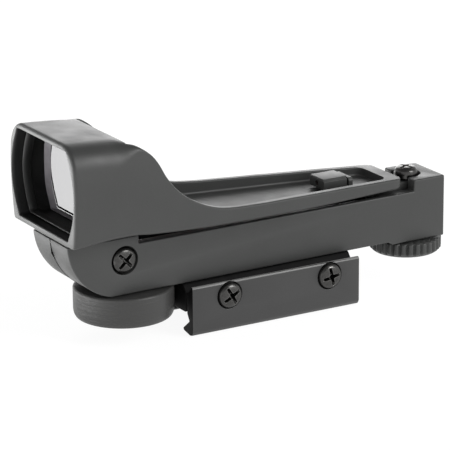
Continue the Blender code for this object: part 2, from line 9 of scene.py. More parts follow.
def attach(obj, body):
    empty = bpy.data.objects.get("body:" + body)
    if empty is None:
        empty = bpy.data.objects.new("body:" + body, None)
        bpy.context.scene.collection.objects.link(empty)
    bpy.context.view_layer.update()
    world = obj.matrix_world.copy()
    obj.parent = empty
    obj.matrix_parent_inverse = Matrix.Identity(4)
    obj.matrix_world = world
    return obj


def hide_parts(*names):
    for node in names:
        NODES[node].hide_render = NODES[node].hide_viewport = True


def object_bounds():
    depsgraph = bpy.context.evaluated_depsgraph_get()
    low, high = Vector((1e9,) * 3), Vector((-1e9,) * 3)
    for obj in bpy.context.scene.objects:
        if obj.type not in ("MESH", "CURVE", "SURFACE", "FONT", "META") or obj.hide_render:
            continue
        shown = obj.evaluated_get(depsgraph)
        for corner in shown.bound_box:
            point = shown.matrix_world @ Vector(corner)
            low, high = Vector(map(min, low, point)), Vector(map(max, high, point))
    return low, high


# Lengths are in mm unless a name ends in _M (metres) or _PX (pixels of the photograph).
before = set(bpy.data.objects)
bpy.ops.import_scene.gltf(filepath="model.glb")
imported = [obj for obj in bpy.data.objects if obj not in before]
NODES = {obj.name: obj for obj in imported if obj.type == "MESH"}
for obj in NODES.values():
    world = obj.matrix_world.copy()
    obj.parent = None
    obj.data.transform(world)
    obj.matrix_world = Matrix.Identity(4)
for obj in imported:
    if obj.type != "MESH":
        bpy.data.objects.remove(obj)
cad_low, cad_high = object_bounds()
MM = 0.001

# ---------------------------------------------------------------- camera
YAW = math.radians(30.272)
PITCH = math.radians(17.272)
ROLL = math.radians(-0.393)
DISTANCE = 786.27
TARGET = Vector((-5.5, 0.0, 18.2))
FOCAL_PX = 2807.02
AIM_RIGHT_PX = -10.72
AIM_UP_PX = 3.48
IMAGE_PX = 450
SENSOR_MM = 36.0
CLIP_NEAR_M = 0.05
CLIP_FAR_M = 20

ahead = Vector((math.sin(YAW) * math.cos(PITCH), math.cos(YAW) * math.cos(PITCH), -math.sin(PITCH)))
right = Vector((math.cos(YAW), -math.sin(YAW), 0.0))
up = right.cross(ahead)
right, up = (right * math.cos(ROLL) + up * math.sin(ROLL),
             up * math.cos(ROLL) - right * math.sin(ROLL))
eye = (TARGET - ahead * DISTANCE) * MM
aim = (ahead + right * AIM_RIGHT_PX / FOCAL_PX + up * AIM_UP_PX / FOCAL_PX).normalized()
across = (right - aim * right.dot(aim)).normalized()
upward = across.cross(aim)
camera = bpy.data.objects.new("camera", bpy.data.cameras.new("camera"))
camera.matrix_world = Matrix((
    (across.x, upward.x, -aim.x, eye.x),
    (across.y, upward.y, -aim.y, eye.y),
    (across.z, upward.z, -aim.z, eye.z),
    (0, 0, 0, 1),
))
camera.data.sensor_width = SENSOR_MM
camera.data.lens = FOCAL_PX * SENSOR_MM / IMAGE_PX
camera.data.clip_start = CLIP_NEAR_M
camera.data.clip_end = CLIP_FAR_M
bpy.context.scene.collection.objects.link(camera)
bpy.context.scene.camera = camera
bpy.context.scene.view_settings.view_transform = "Standard"

# ---------------------------------------------------------------- main sizes
FRONT_X = -65.5
ARM_END_X = 44.9
ARM_END_R = 2.6
ROOF_REAR_X = -47.8
HOOD_HALF_W = 19.5
# Curves along X: upper and lower outline, half width, wall, window ceiling and inner floor.
SKYLINE = ((FRONT_X, 54.4), (-60.0, 54.2), (-55.0, 53.9), (-51.0, 53.5), (-48.5, 53.0),
           (-47.2, 52.6), (-45.5, 52.0), (-44.0, 51.1), (-41.6, 49.3), (-40.1, 47.7),
           (-38.7, 45.6), (-37.2, 42.9), (-35.4, 40.4), (-32.7, 37.5), (-29.5, 35.0),
           (-26.5, 33.3), (-23.5, 31.9), (-19.5, 30.6), (-15.5, 29.9), (-8.5, 29.4), (9.5, 28.7),
           (26.5, 28.05), (ARM_END_X, 27.3))
KEEL = ((FRONT_X, 26.4), (-60.0, 26.8), (-52.0, 27.3), (-47.5, 27.3), (-41.0, 26.6),
        (-23.5, 25.4), (-9.5, 24.85), (10.5, 24.25), (ARM_END_X, 24.1))
PLAN = ((FRONT_X, HOOD_HALF_W), (-50.0, 18.5), (-35.0, 17.4), (-17.5, 15.9), (-8.5, 15.1),
        (10.0, 13.1), (21.5, 11.8), (34.5, 10.3), (39.5, 9.7), (ARM_END_X, 9.1))
WALL = ((-66.5, 1.3), (-40.0, 1.5), (-20.0, 2.0), (42.0, 2.6))
CEILING = ((-66.5, 52.6), (-60.0, 52.4), (ROOF_REAR_X, 51.3))
FLOOR = ((-70.0, 28.2), (-50.0, 28.0), (-30.0, 26.6), (-8.5, 25.8), (45.0, 25.0))
BULGE_R = 40.0  # of the sides above BULGE_Z
LOW_BULGE_R = 72.0  # and below it
BULGE_Z = 41.2
BULGE_LEAST = 0.15  # share of the bulge that is left along the arm
BULGE_FADE_X = -15.0
BULGE_FADE_L = 45.0
WINDOW_HALF_W = 18.2
WINDOW_BULGE_R = 19.0
WINDOW_MID_Z = 40.4
WINDOW_CORNER_R = 0.8
TRAY_WIDEN = 6.0
PIVOT_X, PIVOT_Z = -46.0, 18.3
BARREL_R = 3.28
ELEV_X = 51.5
DIAL_X = -41.4
BASE_FRONT_X = -63.6
BASE_REAR_X = 59.9
BASE_NOSE_R = 18.0
BASE_HALF_W = 10.3
BASE_TAPER = 2.6
BASE_TAPER_L = 125.0
BLOCK_SCREW_XS = {"front": -6.5, "rear": 8.5}
CLAMP_HALF_L = 27.1
CLAMP_SCREW_XS = {"front": -15.3, "rear": 17.2}
CLAMP_SCREW_Z = 4.1
JAW_OUTER_Y = 13.4


def smooth_line(points):
    """A smooth function through (x, value) points that never overshoots them."""
    xs = [p[0] for p in points]
    ys = [p[1] for p in points]
    steps = [b - a for a, b in zip(xs, xs[1:])]
    slopes = [(b - a) / h for a, b, h in zip(ys, ys[1:], steps)]
    tangents = [slopes[0]]
    for i in range(1, len(slopes)):
        before, after = slopes[i - 1], slopes[i]
        if before * after <= 0:
            tangents.append(0.0)
            continue
        w_before = 2 * steps[i] + steps[i - 1]
        w_after = steps[i] + 2 * steps[i - 1]
        tangents.append((w_before + w_after) / (w_before / before + w_after / after))
    tangents.append(slopes[-1])

    def at(x):
        if x <= xs[0]:
            return ys[0]
        if x >= xs[-1]:
            return ys[-1]
        i = max(k for k in range(len(steps)) if xs[k] <= x)
        t = (x - xs[i]) / steps[i]
        rise = (2 * t ** 3 - 3 * t ** 2 + 1) * ys[i] + (3 * t ** 2 - 2 * t ** 3) * ys[i + 1]
        lean = (t ** 3 - 2 * t ** 2 + t) * tangents[i] + (t ** 3 - t ** 2) * tangents[i + 1]
        return rise + lean * steps[i]

    return at


skyline_at = smooth_line(SKYLINE)
keel_at = smooth_line(KEEL)
plan_at = smooth_line(PLAN)
wall_at = smooth_line(WALL)
floor_at = smooth_line(FLOOR)
ceiling_at = smooth_line(CEILING)


def bulge_share(x):
    """How much the sides bulge at x: fully at the hood, a little along the arm."""
    return max(BULGE_LEAST, min(1.0, (BULGE_FADE_X - x) / BULGE_FADE_L))


def outer_half_width(x, z):
    """Half width of the sight body's outside."""
    radius = BULGE_R if z > BULGE_Z else LOW_BULGE_R
    return plan_at(x) - bulge_share(x) * (z - BULGE_Z) ** 2 / (2 * radius)


def inner_half_width(x, z):
    """Half width of the hollow: the bowed window in the hood, an even wall along the arm."""
    bow = (z - WINDOW_MID_Z) ** 2 / (2 * WINDOW_BULGE_R)
    window = WINDOW_HALF_W + plan_at(x) - HOOD_HALF_W - bow
    widened = window + (1 - bulge_share(x)) * TRAY_WIDEN
    return min(outer_half_width(x, z) - wall_at(x), widened)


def base_half_width(x):
    """Half width of the base, which tapers from the nose to the rear block."""
    return BASE_HALF_W - BASE_TAPER * (x - FRONT_X) / BASE_TAPER_L


# ---------------------------------------------------------------- mesh tools
ALONG_Y = Matrix.Rotation(math.radians(90), 3, "X")
ALONG_X = Matrix.Rotation(math.radians(90), 3, "Y")
UPSIDE_DOWN = Matrix.Rotation(math.pi, 3, "X")


def obj_from(name, bm, at=(0, 0, 0), turn=None):
    """An object from a bmesh in mm, placed in mm, its own axes turned."""
    bmesh.ops.recalc_face_normals(bm, faces=bm.faces)
    bmesh.ops.scale(bm, vec=(MM, MM, MM), verts=bm.verts)
    mesh = bpy.data.meshes.new(name)
    bm.to_mesh(mesh)
    bm.free()
    obj = bpy.data.objects.new(name, mesh)
    place = Matrix.Translation(Vector(at) * MM)
    obj.matrix_world = place @ turn.to_4x4() if turn else place
    bpy.context.scene.collection.objects.link(obj)
    return obj


def apply_all(obj):
    """Bake the object's modifiers into its mesh."""
    deps = bpy.context.evaluated_depsgraph_get()
    mesh = bpy.data.meshes.new_from_object(obj.evaluated_get(deps),
                                           preserve_all_data_layers=True, depsgraph=deps)
    obj.modifiers.clear()
    obj.data = mesh


def combine(obj, tools, operation="DIFFERENCE", weld=0.0):
    """Cut or join a list of tool objects, then remove them and weld slivers if asked."""
    for tool in tools:
        mod = obj.modifiers.new("tool", "BOOLEAN")
        mod.operation = operation
        mod.solver = "EXACT"
        mod.object = tool
    apply_all(obj)
    for tool in tools:
        bpy.data.objects.remove(tool)
    if weld:
        bm = bmesh.new()
        bm.from_mesh(obj.data)
        bmesh.ops.remove_doubles(bm, verts=bm.verts, dist=weld * MM)
        bmesh.ops.dissolve_degenerate(bm, edges=bm.edges, dist=weld * MM * 0.5)
        bm.to_mesh(obj.data)
        bm.free()


def shade(obj, angle=50):
    """Shade smooth, with edges sharper than the angle left crisp."""
    obj.data.shade_smooth()
    obj.data.set_sharp_from_angle(angle=math.radians(angle))


def round_edges(obj, width, segments=3, angle=32, smooth_angle=50):
    """Round the sharp edges for real and shade the result smooth."""
    mod = obj.modifiers.new("edges", "BEVEL")
    mod.width = width * MM
    mod.segments = segments
    mod.limit_method = "ANGLE"
    mod.angle_limit = math.radians(angle)
    mod.use_clamp_overlap = False
    apply_all(obj)
    shade(obj, smooth_angle)


def loft(rings, closed=False):
    """Skin rings of points, all with the same count; closed joins the last to the first."""
    bm = bmesh.new()
    loops = [[bm.verts.new(p) for p in ring] for ring in rings]
    count = len(loops[0])
    pairs = list(zip(loops, loops[1:]))
    if closed:
        pairs.append((loops[-1], loops[0]))
    for low, high in pairs:
        for i in range(count):
            j = (i + 1) % count
            bm.faces.new((low[i], low[j], high[j], high[i]))
    if not closed:
        bm.faces.new(loops[0])
        bm.faces.new(list(reversed(loops[-1])))
    return bm


def prism(outline, axis, low, high):
    """Extrude an outline along X, Y or Z."""
    slot = "XYZ".index(axis)
    return loft([[(*p[:slot], t, *p[slot:]) for p in outline] for t in (low, high)])


def box(x0, x1, y0, y1, z0, z1):
    """A solid box between two X, two Y and two Z planes."""
    return prism([(y0, z0), (y1, z0), (y1, z1), (y0, z1)], "X", x0, x1)


def lathe(profile, segments=96):
    """Spin (radius, z) points about Z; a point with radius 0 closes the end."""
    bm = bmesh.new()
    angles = [2 * math.pi * i / segments for i in range(segments)]
    loops = []
    for radius, z in profile:
        if radius == 0:
            loops.append([bm.verts.new((0, 0, z))])
            continue
        loops.append([bm.verts.new((radius * math.cos(a), radius * math.sin(a), z))
                      for a in angles])
    for low, high in zip(loops, loops[1:]):
        for i in range(segments):
            j = (i + 1) % segments
            if len(low) == 1:
                bm.faces.new((low[0], high[j], high[i]))
            elif len(high) == 1:
                bm.faces.new((low[i], low[j], high[0]))
            else:
                bm.faces.new((low[i], low[j], high[j], high[i]))
    return bm


def rod(radius, low, high, segments=64):
    """A solid cylinder about Z."""
    return lathe([(0, low), (radius, low), (radius, high), (0, high)], segments)


def arc(cx, cy, radius, start, end, steps):
    """Points along a circular arc, angles in degrees."""
    out = []
    for k in range(steps + 1):
        a = math.radians(start + (end - start) * k / steps)
        out.append((cx + radius * math.cos(a), cy + radius * math.sin(a)))
    return out


def corner_curve(before, here, after, radius, steps=4):
    """Points that round one corner of an outline by up to a radius."""
    longest_cut = 0.45  # of either side, so that neighbouring curves never meet
    here = Vector(here)
    a = Vector(before) - here
    b = Vector(after) - here
    cut = min(radius, a.length * longest_cut, b.length * longest_cut)
    start = here + a.normalized() * cut
    end = here + b.normalized() * cut
    shares = [k / steps for k in range(steps + 1)]
    return [tuple(start * (1 - t) ** 2 + here * 2 * t * (1 - t) + end * t ** 2) for t in shares]


def rounded(outline, radius, steps=4):
    """Round every corner of a closed outline."""
    out = []
    for i, corner in enumerate(outline):
        after = outline[(i + 1) % len(outline)]
        out += corner_curve(outline[i - 1], corner, after, radius, steps)
    return out


def softened(profile, radius):
    """Round the inner corners of an open lathe profile."""
    out = [profile[0]]
    for before, here, after in zip(profile, profile[1:], profile[2:]):
        out += corner_curve(before, here, after, radius)
    return out + [profile[-1]]


def ease(share):
    """A smooth step from 0 to 1."""
    share = max(0.0, min(1.0, share))
    return share * share * (3 - 2 * share)


def spread(low, high, step):
    """Even stations from low to high, about a step apart."""
    count = max(1, round((high - low) / step))
    return [low + (high - low) * k / count for k in range(count + 1)]


# ---------------------------------------------------------------- material tools
def new_material(name):
    """A node material, its tree and its main shader."""
    made = bpy.data.materials.new(name)
    made.use_nodes = True
    return made, made.node_tree, made.node_tree.nodes["Principled BSDF"]


def feed(tree, source, socket):
    """Link an output to a socket, or set the socket to a colour or a number."""
    if isinstance(source, bpy.types.NodeSocket):
        tree.links.new(source, socket)
    elif isinstance(source, tuple):
        socket.default_value = (*source, 1.0)
    else:
        socket.default_value = source


def noise(tree, scale, detail=2.0, stretch=(1, 1, 1)):
    """A noise value from the piece's own coordinates; scale is in features per metre."""
    place = tree.nodes.new("ShaderNodeTexCoord")
    mapping = tree.nodes.new("ShaderNodeMapping")
    mapping.inputs["Scale"].default_value = stretch
    texture = tree.nodes.new("ShaderNodeTexNoise")
    texture.inputs["Scale"].default_value = scale
    texture.inputs["Detail"].default_value = detail
    tree.links.new(place.outputs["Object"], mapping.inputs["Vector"])
    tree.links.new(mapping.outputs["Vector"], texture.inputs["Vector"])
    return texture.outputs["Fac"]


def ramp(tree, value, stops):
    """Turn a value into a colour or number by stops of (position, colour)."""
    node = tree.nodes.new("ShaderNodeValToRGB")
    elements = node.color_ramp.elements
    while len(elements) < len(stops):
        elements.new(0.5)
    for element, (position, colour) in zip(elements, stops):
        element.position = position
        if isinstance(colour, (int, float)):
            colour = (colour, colour, colour)
        element.color = (*colour, 1.0)
    tree.links.new(value, node.inputs["Fac"])
    return node.outputs["Color"]


def mixed(tree, share, a, b):
    """Mix two colours by a share."""
    node = tree.nodes.new("ShaderNodeMix")
    node.data_type = "RGBA"
    feed(tree, share, node.inputs["Factor"])
    feed(tree, a, node.inputs["A"])
    feed(tree, b, node.inputs["B"])
    return node.outputs["Result"]


def multiplied(tree, a, b):
    """The product of a value and another value or number."""
    node = tree.nodes.new("ShaderNodeMath")
    node.operation = "MULTIPLY"
    feed(tree, a, node.inputs[0])
    feed(tree, b, node.inputs[1])
    return node.outputs["Value"]


def edge_share(tree, radius):
    """How close a point is to a convex or concave edge."""
    low, high = 0.02, 0.18  # turn of the softened normal where the edge wear and painted highlight start and are full
    soft = tree.nodes.new("ShaderNodeBevel")
    soft.samples = 3
    soft.inputs["Radius"].default_value = radius * MM
    plain = tree.nodes.new("ShaderNodeNewGeometry")
    dot = tree.nodes.new("ShaderNodeVectorMath")
    dot.operation = "DOT_PRODUCT"
    tree.links.new(soft.outputs["Normal"], dot.inputs[0])
    tree.links.new(plain.outputs["True Normal"], dot.inputs[1])
    return ramp(tree, dot.outputs["Value"], ((1 - high, 1.0), (1 - low, 0.0)))


def bumped(tree, shader, layers):
    """Stack bump layers of (height output, strength, distance in mm)."""
    previous = None
    for height, strength, distance in layers:
        node = tree.nodes.new("ShaderNodeBump")
        node.inputs["Strength"].default_value = strength
        node.inputs["Distance"].default_value = distance * MM
        tree.links.new(height, node.inputs["Height"])
        if previous:
            tree.links.new(previous, node.inputs["Normal"])
        previous = node.outputs["Normal"]
    tree.links.new(previous, shader.inputs["Normal"])


def smooth_range(tree, value, start, end, most):
    """A smooth step of a value from 0 at start to most at end."""
    node = tree.nodes.new("ShaderNodeMapRange")
    node.interpolation_type = "SMOOTHSTEP"
    node.inputs["From Min"].default_value = start
    node.inputs["From Max"].default_value = end
    node.inputs["To Min"].default_value = 0.0
    node.inputs["To Max"].default_value = most
    tree.links.new(value, node.inputs["Value"])
    return node.outputs["Result"]


# ---------------------------------------------------------------- finishes
SPECKLE_SCALE = 2600
SPECKLE_SHARE = 0.35
GLOSS_SCALE = 130
WEAR_AND_HIGHLIGHT_SCALE = 300
WEAR_AND_HIGHLIGHT_R = 0.45
GRAIN = (3200, 0.25, 0.03)  # scale, strength and depth of the fine bump
COARSE_GRAIN = (2200, 0.3, 0.03)
STEEL_GRAIN = (2600, 0.3, 0.03)
UNEVEN = (420, 0.12, 0.05)  # the same for the broad bump


def finish(name, colour, rough, metallic=0.0, spread=0.12, worn_and_highlit=None, worn_and_highlit_share=0.5, grain=GRAIN,
           streaks=None, coat=0.0, patch=45, specular=0.5):
    """A finish with colour drift, uneven gloss, fine grain, and edges lightened for wear and as a
    painted highlight.

    patch is the scale of the colour drift and spread its strength, worn_and_highlit is the colour
    of edges lightened for wear and as a painted highlight, and streaks are turned lines as (scale,
    stretch, strength, depth).
    """
    made, tree, shader = new_material(name)
    darker = tuple(c * (1 - spread) for c in colour)
    lighter = tuple(c * (1 + spread) for c in colour)
    drift = ramp(tree, noise(tree, patch, 4.0), ((0.3, darker), (0.7, lighter)))
    speckle = ramp(tree, noise(tree, SPECKLE_SCALE, 1.0), ((0.35, darker), (0.65, lighter)))
    base = mixed(tree, SPECKLE_SHARE, drift, speckle)
    glossy, matt = rough * 0.88, min(1.0, rough * 1.12)
    gloss = ramp(tree, noise(tree, GLOSS_SCALE, 5.0), ((0.3, glossy), (0.7, matt)))
    # Edge colour: partly wear, partly a painted highlight where light catches the rounded edges.
    if worn_and_highlit:
        broken = ramp(tree, noise(tree, WEAR_AND_HIGHLIGHT_SCALE, 4.0), ((0.35, 0.25), (0.7, 1.0)))
        share = multiplied(tree, edge_share(tree, WEAR_AND_HIGHLIGHT_R), broken)
        base = mixed(tree, multiplied(tree, share, worn_and_highlit_share), base, worn_and_highlit)
    tree.links.new(base, shader.inputs["Base Color"])
    tree.links.new(gloss, shader.inputs["Roughness"])
    shader.inputs["Metallic"].default_value = metallic
    shader.inputs["Specular IOR Level"].default_value = specular
    shader.inputs["Coat Weight"].default_value = coat
    layers = []
    if streaks:
        scale, stretch, strength, depth = streaks
        layers.append((noise(tree, scale, 3.0, stretch), strength, depth))
    for (scale, strength, depth), detail in ((UNEVEN, 3.0), (grain, 2.0)):
        layers.append((noise(tree, scale, detail), strength, depth))
    bumped(tree, shader, layers)
    return made


PLASTIC = finish("moulded_black_plastic", (0.038, 0.039, 0.038), 0.46, worn_and_highlit=(0.075, 0.075, 0.072))
# A near-black copy of the black plastic: painted shade for the faces deep inside the hood.
PLASTIC_PAINTED_SHADE = finish("black_plastic_painted_shade", (0.008, 0.0082, 0.008), 0.42,
                       worn_and_highlit=(0.05, 0.05, 0.05), specular=0.35)
DIAL_PLASTIC = finish("turned_black_plastic", (0.034, 0.034, 0.033), 0.44,
                      worn_and_highlit=(0.075, 0.075, 0.072), streaks=(40, (0.3, 0.3, 24), 0.95, 0.30))
WHEEL_PLASTIC = finish("knurled_black_plastic", (0.036, 0.037, 0.036), 0.45,
                       worn_and_highlit=(0.11, 0.11, 0.11), worn_and_highlit_share=0.6)
PAINTED = finish("black_coated_metal", (0.034, 0.034, 0.034), 0.42, worn_and_highlit=(0.12, 0.12, 0.12),
                 worn_and_highlit_share=0.45, grain=COARSE_GRAIN)
# A near-black copy of the coat: painted shade in the gap behind the jaw and on the clamp's front
# ends.
COAT_PAINTED_SHADE = finish("coated_metal_painted_shade", (0.004, 0.004, 0.004), 0.60, specular=0.12)
# A pale copy of the coat: painted highlight along the jaw's top edge, where light from above
# catches it.
COAT_PAINTED_HIGHLIGHT = finish("coated_edge_painted_highlight", (0.15, 0.15, 0.148), 0.40)
SCREW = finish("blackened_screw_steel", (0.075, 0.074, 0.072), 0.26, metallic=1.0,
               worn_and_highlit=(0.36, 0.35, 0.34), worn_and_highlit_share=0.7, grain=STEEL_GRAIN, patch=260, spread=0.3)
STEEL = finish("bright_spring_steel", (0.56, 0.56, 0.58), 0.26, metallic=1.0,
               worn_and_highlit=(0.7, 0.7, 0.72), patch=200)
BRASS = finish("turned_brass", (0.70, 0.50, 0.20), 0.30, metallic=1.0, worn_and_highlit=(0.82, 0.62, 0.30),
               patch=200, streaks=(60, (0.4, 0.4, 30), 0.3, 0.05))
RUBBER = finish("seal_rubber", (0.022, 0.022, 0.022), 0.78)
BOARD = finish("printed_board", (0.03, 0.15, 0.07), 0.42, spread=0.25, patch=600)
WIRE_RED = finish("red_insulation", (0.50, 0.03, 0.03), 0.45)
WIRE_BLACK = finish("black_insulation", (0.02, 0.02, 0.02), 0.45)
LAMP = finish("lamp_red", (0.62, 0.03, 0.02), 0.15, coat=0.5)

LENS_SLANT = (0.0, 0.5, -0.16)  # height of the half-mirror layer for each metre along X, Y and Z
LENS_METALLIC = 0.72
LENS_IOR = 1.05


def glass_finish():
    """Lens glass with a pale half-mirror layer, laid at a slant inside the plate."""
    made, tree, shader = new_material("coated_lens_glass")
    dark_tint, pale_tint = (0.150, 0.150, 0.151), (0.154, 0.154, 0.155)
    tint = ramp(tree, noise(tree, 60, 2.0), ((0.3, dark_tint), (0.7, pale_tint)))
    tree.links.new(tint, shader.inputs["Base Color"])
    haze = ramp(tree, noise(tree, 240, 4.0), ((0.3, 0.02), (0.75, 0.03)))
    tree.links.new(haze, shader.inputs["Roughness"])
    shader.inputs["Metallic"].default_value = LENS_METALLIC
    shader.inputs["Transmission Weight"].default_value = 1.0
    shader.inputs["IOR"].default_value = LENS_IOR
    place = tree.nodes.new("ShaderNodeTexCoord")
    slant = tree.nodes.new("ShaderNodeVectorMath")
    slant.operation = "DOT_PRODUCT"
    slant.inputs[1].default_value = LENS_SLANT
    tree.links.new(place.outputs["Object"], slant.inputs[0])
    whole_metre = 1 / MM  # the slant is a height in metres, used at full strength
    bumped(tree, shader, [(slant.outputs["Value"], 1.0, whole_metre)])
    return made


def ground_edge_finish():
    """The lens's ground rim: frosted and faintly violet."""
    made, tree, shader = new_material("ground_lens_edge")
    dark_tint, pale_tint = (0.17, 0.16, 0.175), (0.21, 0.20, 0.215)
    tint = ramp(tree, noise(tree, 500, 3.0), ((0.3, dark_tint), (0.7, pale_tint)))
    tree.links.new(tint, shader.inputs["Base Color"])
    rough = ramp(tree, noise(tree, 700, 3.0), ((0.3, 0.5), (0.7, 0.7)))
    tree.links.new(rough, shader.inputs["Roughness"])
    bumped(tree, shader, [(noise(tree, 2500, 2.0), 0.3, 0.03)])
    return made


GLASS = glass_finish()
GROUND_EDGE = ground_edge_finish()


def piece(obj, skin, body, slot, *nodes):
    """Give a finished mesh its finish and hang it on its body in place of CAD nodes."""
    obj.data.materials.clear()
    obj.data.materials.append(skin)
    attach(obj, body)
    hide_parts(*nodes)


# ---------------------------------------------------------------- sight body
SIDE_STEPS = 22
CORNER_STEPS = 9
ROOF_EDGE_R = 0.6  # at the arm, and ROOF_EDGE_GAIN more at the hood
ROOF_EDGE_GAIN = 6.6
ROOF_FADE_X = -43.0
ROOF_FADE_L = 9.0
LOW_EDGE_R = 1.4  # at the arm, and LOW_EDGE_LOSS less at the hood
LOW_EDGE_LOSS = 0.4
TRAY_END_X = 40.4
TRAY_CORNER_R = 2.4
TRAY_FILLET = 0.7
TRAY_STEPS = 17
RIM_R = 0.45
OPEN_TOP_Z = 58.0
FRONT_ROUND = ((0.0, 0.9), (0.08, 0.58), (0.3, 0.28), (0.62, 0.08), (1.1, 0.0))  # depth, draw-in
HOOD_X, SLOPE_X, TRAY_X, ARM_X = -63.5, -51.5, -18.5, 42.5  # where the stations' spacing changes
HOOD_STEP, WINDOW_STEP, SLOPE_STEP, ARM_STEP = 2.0, 1.5, 0.75, 2.3
ARM_END_STATIONS = (43.0, 43.5, 43.9, 44.2, 44.5)
ARM_END_ROUND = ((44.75, 0.12), (ARM_END_X, 0.45))
TRAY_END_SHARES = (0.72, 0.48, 0.28, 0.13, 0.04, 0.0)
LUG_R = 5.2
LUG_HALF_W = 4.0
LUG_TOP_Z = 27.6
TONGUE_FRONT_X = 36.0
TONGUE_HALF_W = 3.6
TONGUE_LOW_Z, TONGUE_TOP_Z = 21.7, 24.3
TONGUE_HOLE_R = 2.1
# INNER_LOW_Z and INNER_MARGIN bound the faces inside the hood that take painted shade.
INNER_LOW_Z = 27.6
INNER_MARGIN = 0.3  # how far past the hollow's own surface a face still counts as inside
SIGHT_SMOOTH = 38


def draw_at_end(x, end_x, radius):
    """How far a quarter round of this radius draws the side in, for x close to end_x."""
    into = max(0.0, x - end_x + radius)
    return radius - math.sqrt(max(0.0, radius ** 2 - into ** 2))


def mirrored(x, side):
    """A closed section at x from the points of its +Y side."""
    return [(x, y, z) for y, z in side] + [(x, -y, z) for y, z in reversed(side)]


def section(x, low, high, low_r, high_r, half_width):
    """One closed section across the sight body with rounded corners."""
    foot, shoulder = low + low_r, high - high_r
    side = arc(half_width(x, foot) - low_r, foot, low_r, -90, 0, CORNER_STEPS)
    for k in range(1, SIDE_STEPS):
        z = foot + (shoulder - foot) * k / SIDE_STEPS
        side.append((half_width(x, z), z))
    side += arc(half_width(x, shoulder) - high_r, shoulder, high_r, 0, 90, CORNER_STEPS)
    return mirrored(x, side)


def outer_section(x, draw_in=0.0):
    """The outer skin at x; draw_in shrinks it for the rounded ends."""
    roof_r = ROOF_EDGE_R + ROOF_EDGE_GAIN * ease((ROOF_FADE_X - x) / ROOF_FADE_L)
    low_r = LOW_EDGE_R - LOW_EDGE_LOSS * bulge_share(x)
    end_draw = draw_at_end(x, ARM_END_X, ARM_END_R)

    def half_width(at, z):
        return outer_half_width(at, z) - draw_in - end_draw

    return section(x, keel_at(x) + draw_in * 0.3, skyline_at(x) - draw_in, low_r, roof_r,
                   half_width)


def window_section(x, widen=0.0):
    """The closed hollow through the hood at x."""
    def half_width(at, z):
        return inner_half_width(at, z) + widen

    return section(x, floor_at(x) - widen, ceiling_at(x) + widen, WINDOW_CORNER_R,
                   WINDOW_CORNER_R, half_width)


def tray_section(x):
    """The open hollow of the tray at x, flared where it meets the rim."""
    corner_draw = draw_at_end(x, TRAY_END_X, TRAY_CORNER_R)
    foot_z = floor_at(x) + TRAY_FILLET
    rim_z = skyline_at(x)
    foot_y = inner_half_width(x, foot_z) - corner_draw - TRAY_FILLET
    side = arc(foot_y, foot_z, TRAY_FILLET, -90, 0, 6)
    for k in range(1, TRAY_STEPS + 1):
        z = foot_z + (rim_z - RIM_R - foot_z) * k / TRAY_STEPS
        side.append((inner_half_width(x, z) - corner_draw, z))
    wall_y = side[-1][0]
    side += arc(wall_y + RIM_R, rim_z - RIM_R, RIM_R, 180, 100, 7)[1:]
    side.append((side[-1][0] + 0.02, rim_z + 0.4))
    side.append((side[-1][0], OPEN_TOP_Z))
    return mirrored(x, side)


outer_stations = spread(HOOD_X, SLOPE_X, HOOD_STEP)
outer_stations += spread(SLOPE_X, TRAY_X, SLOPE_STEP)[1:] + spread(TRAY_X, ARM_X, ARM_STEP)[1:]
outer_stations += ARM_END_STATIONS
outer_rings = [outer_section(FRONT_X + depth, draw) for depth, draw in FRONT_ROUND]
outer_rings += [outer_section(x) for x in outer_stations]
outer_rings += [outer_section(x, draw) for x, draw in ARM_END_ROUND]
sight = obj_from("sight_shell", loft(outer_rings))
window_rings = [window_section(FRONT_X - 1.0, 0.5)]
window_rings += [window_section(FRONT_X + depth, flare * 0.45) for depth, flare in FRONT_ROUND]
window_rings += [window_section(x) for x in spread(HOOD_X, ROOF_REAR_X + 0.4, WINDOW_STEP)]
tray_stations = spread(ROOF_REAR_X, TRAY_X, SLOPE_STEP)
tray_stations += spread(TRAY_X, TRAY_END_X - TRAY_CORNER_R, ARM_STEP)[1:]
tray_stations += [TRAY_END_X - TRAY_CORNER_R * share for share in TRAY_END_SHARES]
combine(sight, [obj_from("window", loft(window_rings))])
combine(sight, [obj_from("tray", loft([tray_section(x) for x in tray_stations]))])
shade(sight, SIGHT_SMOOTH)

lug_side = arc(PIVOT_X, PIVOT_Z, LUG_R, 180, 360, 24)
lug_side += [(PIVOT_X + LUG_R, LUG_TOP_Z), (PIVOT_X - LUG_R, LUG_TOP_Z)]
combine(sight, [obj_from("lug", prism(lug_side, "Y", -LUG_HALF_W, LUG_HALF_W))], "UNION")
tongue_outline = [(TONGUE_FRONT_X, -TONGUE_HALF_W)]
tongue_outline += arc(ELEV_X, 0, TONGUE_HALF_W, -90, 90, 24)
tongue_outline.append((TONGUE_FRONT_X, TONGUE_HALF_W))
tongue = obj_from("tongue", prism(tongue_outline, "Z", TONGUE_LOW_Z, TONGUE_TOP_Z))
round_edges(tongue, 0.2)
combine(sight, [tongue], "UNION")
combine(sight, [
    obj_from("bore", rod(BARREL_R, -9, 9), (PIVOT_X, 0, PIVOT_Z), ALONG_Y),
    obj_from("tongue_hole", rod(TONGUE_HOLE_R, -8, 8), (ELEV_X, 0, 23)),
    obj_from("wire_way", box(27, 29, -1.6, 1.6, 20, 30)),
])
shade(sight, SIGHT_SMOOTH)
piece(sight, PLASTIC, "sight", "black_plastic", "sight_body")
